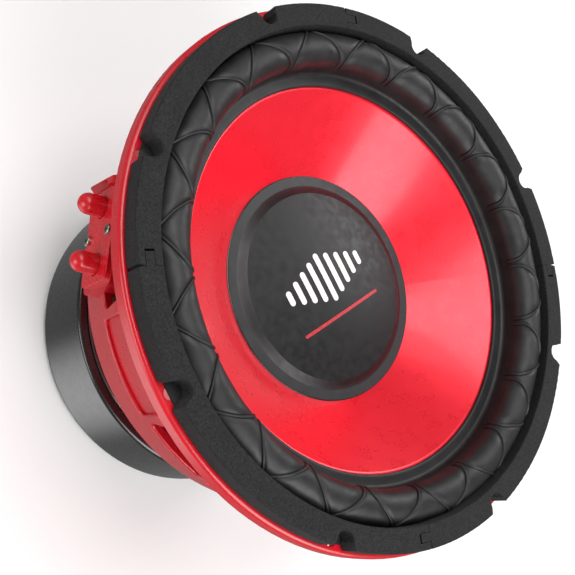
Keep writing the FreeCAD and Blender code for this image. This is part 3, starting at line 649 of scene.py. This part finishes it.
# ---- glue round the dust cap ---------------------------------------------------------------------
def bead(name, radius, height, width, rise, ripple):
    """A low ring of glue on the cone whose radius wanders a little along its length."""
    segments, sides = 360, 10
    around = np.linspace(0, 2 * math.pi, segments, endpoint=False)
    wander = sum(np.sin(k * around + k * k) / k for k in (3, 7, 13, 29)) * ripple
    turn = np.linspace(0, 2 * math.pi, sides, endpoint=False)
    r = radius + wander[None, :] + width * np.cos(turn)[:, None]
    z = height + np.where(np.sin(turn) > 0, rise, rise * 0.8)[:, None] * np.sin(turn)[:, None] + 0 * r
    points = np.stack([r * np.cos(around), r * np.sin(around), z], axis=-1)
    obj = new_object(name, points.reshape(-1, 3), grid_faces(sides, segments, True, True), WIRE_SHARP)
    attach(obj, CONE)
    return finished(obj, "adhesive")


surround_piece()
spider_piece()
coil_piece()
for number in ("1", "2"):
    lead_piece(number)
    spring_piece(number)
cap_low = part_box("dust_cap")[0]
bead("cap_glue", outer_radius("dust_cap") + 0.15 * MM, cap_low.z + 0.2 * MM, 0.55 * MM, 0.45 * MM, 0.06 * MM)


# ---- stage, light and camera ---------------------------------------------------------------------
WORLD_STRENGTH = 0.2
PATCH_DIRECTION = (-0.53, -0.335, -0.776)                        # what the boot's side mirrors to the camera
PATCH_INNER, PATCH_OUTER = math.radians(4), math.radians(30)     # full strength inside, none outside
PATCH_STRENGTH = 1.7
SOFT_LIGHTS = [                          # name, direction from the driver, distance, side, power
    ("ceiling", (-0.12, 0.30, 1.0), 1.3, 0.9, 11),
    ("lower_front", (-0.02, -0.76, 0.65), 1.0, 0.8, 10),
    ("upper_front", (-0.33, 0.70, 0.63), 1.0, 0.5, 0.9),
    ("right_front", (0.74, 0.34, 0.57), 1.0, 0.45, 3.2),
    ("low_side", (-0.90, -0.10, 0.10), 0.6, 0.3, 0.9)]
CAMERA_LENS, CAMERA_SENSOR = 55.28, 36.0
CAMERA_FROM_FRONT = (-2.2275, -0.5245, 2.2396)                   # from the front's middle, in gasket radii
CAMERA_LOOKING = (0.6110, 0.1557, -0.7762)
CAMERA_UPRIGHT = (0.0162, 0.9778, 0.2089)


def floor():
    half, blotch = 3.0, 0.75
    corners = [(-half, -half, 0), (half, -half, 0), (half, half, 0), (-half, half, 0)]
    obj = new_object("floor", corners, [(0, 1, 2, 3)])
    m = Material("floor", (0.86, 0.86, 0.86), 0.6, Specular_IOR_Level=0.2)
    m.color(m.mix(m.noise(blotch), (0.85, 0.85, 0.85), (0.87, 0.87, 0.87)))
    obj.data.materials.append(m.data)
    obj.visible_glossy = False               # paint and plastic mirror the studio's lower half instead


def soft_light(name, direction, distance, size, power):
    """A square soft box that faces the driver from a direction and doesn't show itself."""
    data = bpy.data.lights.new(name, "AREA")
    data.size = size
    data.energy = power
    obj = bpy.data.objects.new(name, data)
    bpy.context.scene.collection.objects.link(obj)
    towards = Vector(direction).normalized()
    obj.location = Vector((0, 0, FRONT_Z / 2)) + towards * distance
    obj.rotation_mode = "QUATERNION"
    obj.rotation_quaternion = (-towards).to_track_quat("-Z", "Y")
    obj.visible_camera = False


def camera():
    """The front of the driver seen from its left, rolled so that the driver's +Y is upright."""
    data = bpy.data.cameras.new("camera")
    data.sensor_width = CAMERA_SENSOR
    data.lens = CAMERA_LENS
    obj = bpy.data.objects.new("camera", data)
    bpy.context.scene.collection.objects.link(obj)
    place = Vector((0, 0, FRONT_Z)) + Vector(CAMERA_FROM_FRONT) * GASKET_R
    back = -Vector(CAMERA_LOOKING).normalized()
    right = Vector(CAMERA_UPRIGHT).cross(back).normalized()
    turn = Matrix((right, back.cross(right), back)).transposed()
    obj.matrix_world = Matrix.Translation(place) @ turn.to_4x4()
    bpy.context.scene.camera = obj


def world():
    """An even grey studio with one soft bright patch low on the terminal side."""
    made = bpy.data.worlds.new("world")
    made.use_nodes = True
    tree = made.node_tree
    background = tree.nodes["Background"]
    place = tree.nodes.new("ShaderNodeTexCoord")
    aim = tree.nodes.new("ShaderNodeVectorMath")
    aim.operation = "DOT_PRODUCT"
    aim.inputs[1].default_value = PATCH_DIRECTION
    patch = tree.nodes.new("ShaderNodeMapRange")
    patch.interpolation_type = "SMOOTHSTEP"
    patch.inputs["From Min"].default_value = math.cos(PATCH_OUTER)
    patch.inputs["From Max"].default_value = math.cos(PATCH_INNER)
    patch.inputs["To Min"].default_value = WORLD_STRENGTH
    patch.inputs["To Max"].default_value = PATCH_STRENGTH
    tree.links.new(place.outputs["Generated"], aim.inputs[0])
    tree.links.new(aim.outputs["Value"], patch.inputs["Value"])
    tree.links.new(patch.outputs["Result"], background.inputs["Strength"])
    background.inputs["Color"].default_value = (1, 1, 1, 1)
    bpy.context.scene.world = made


floor()
world()
for settings in SOFT_LIGHTS:
    soft_light(*settings)
camera()
bpy.context.scene.view_settings.view_transform = "Standard"
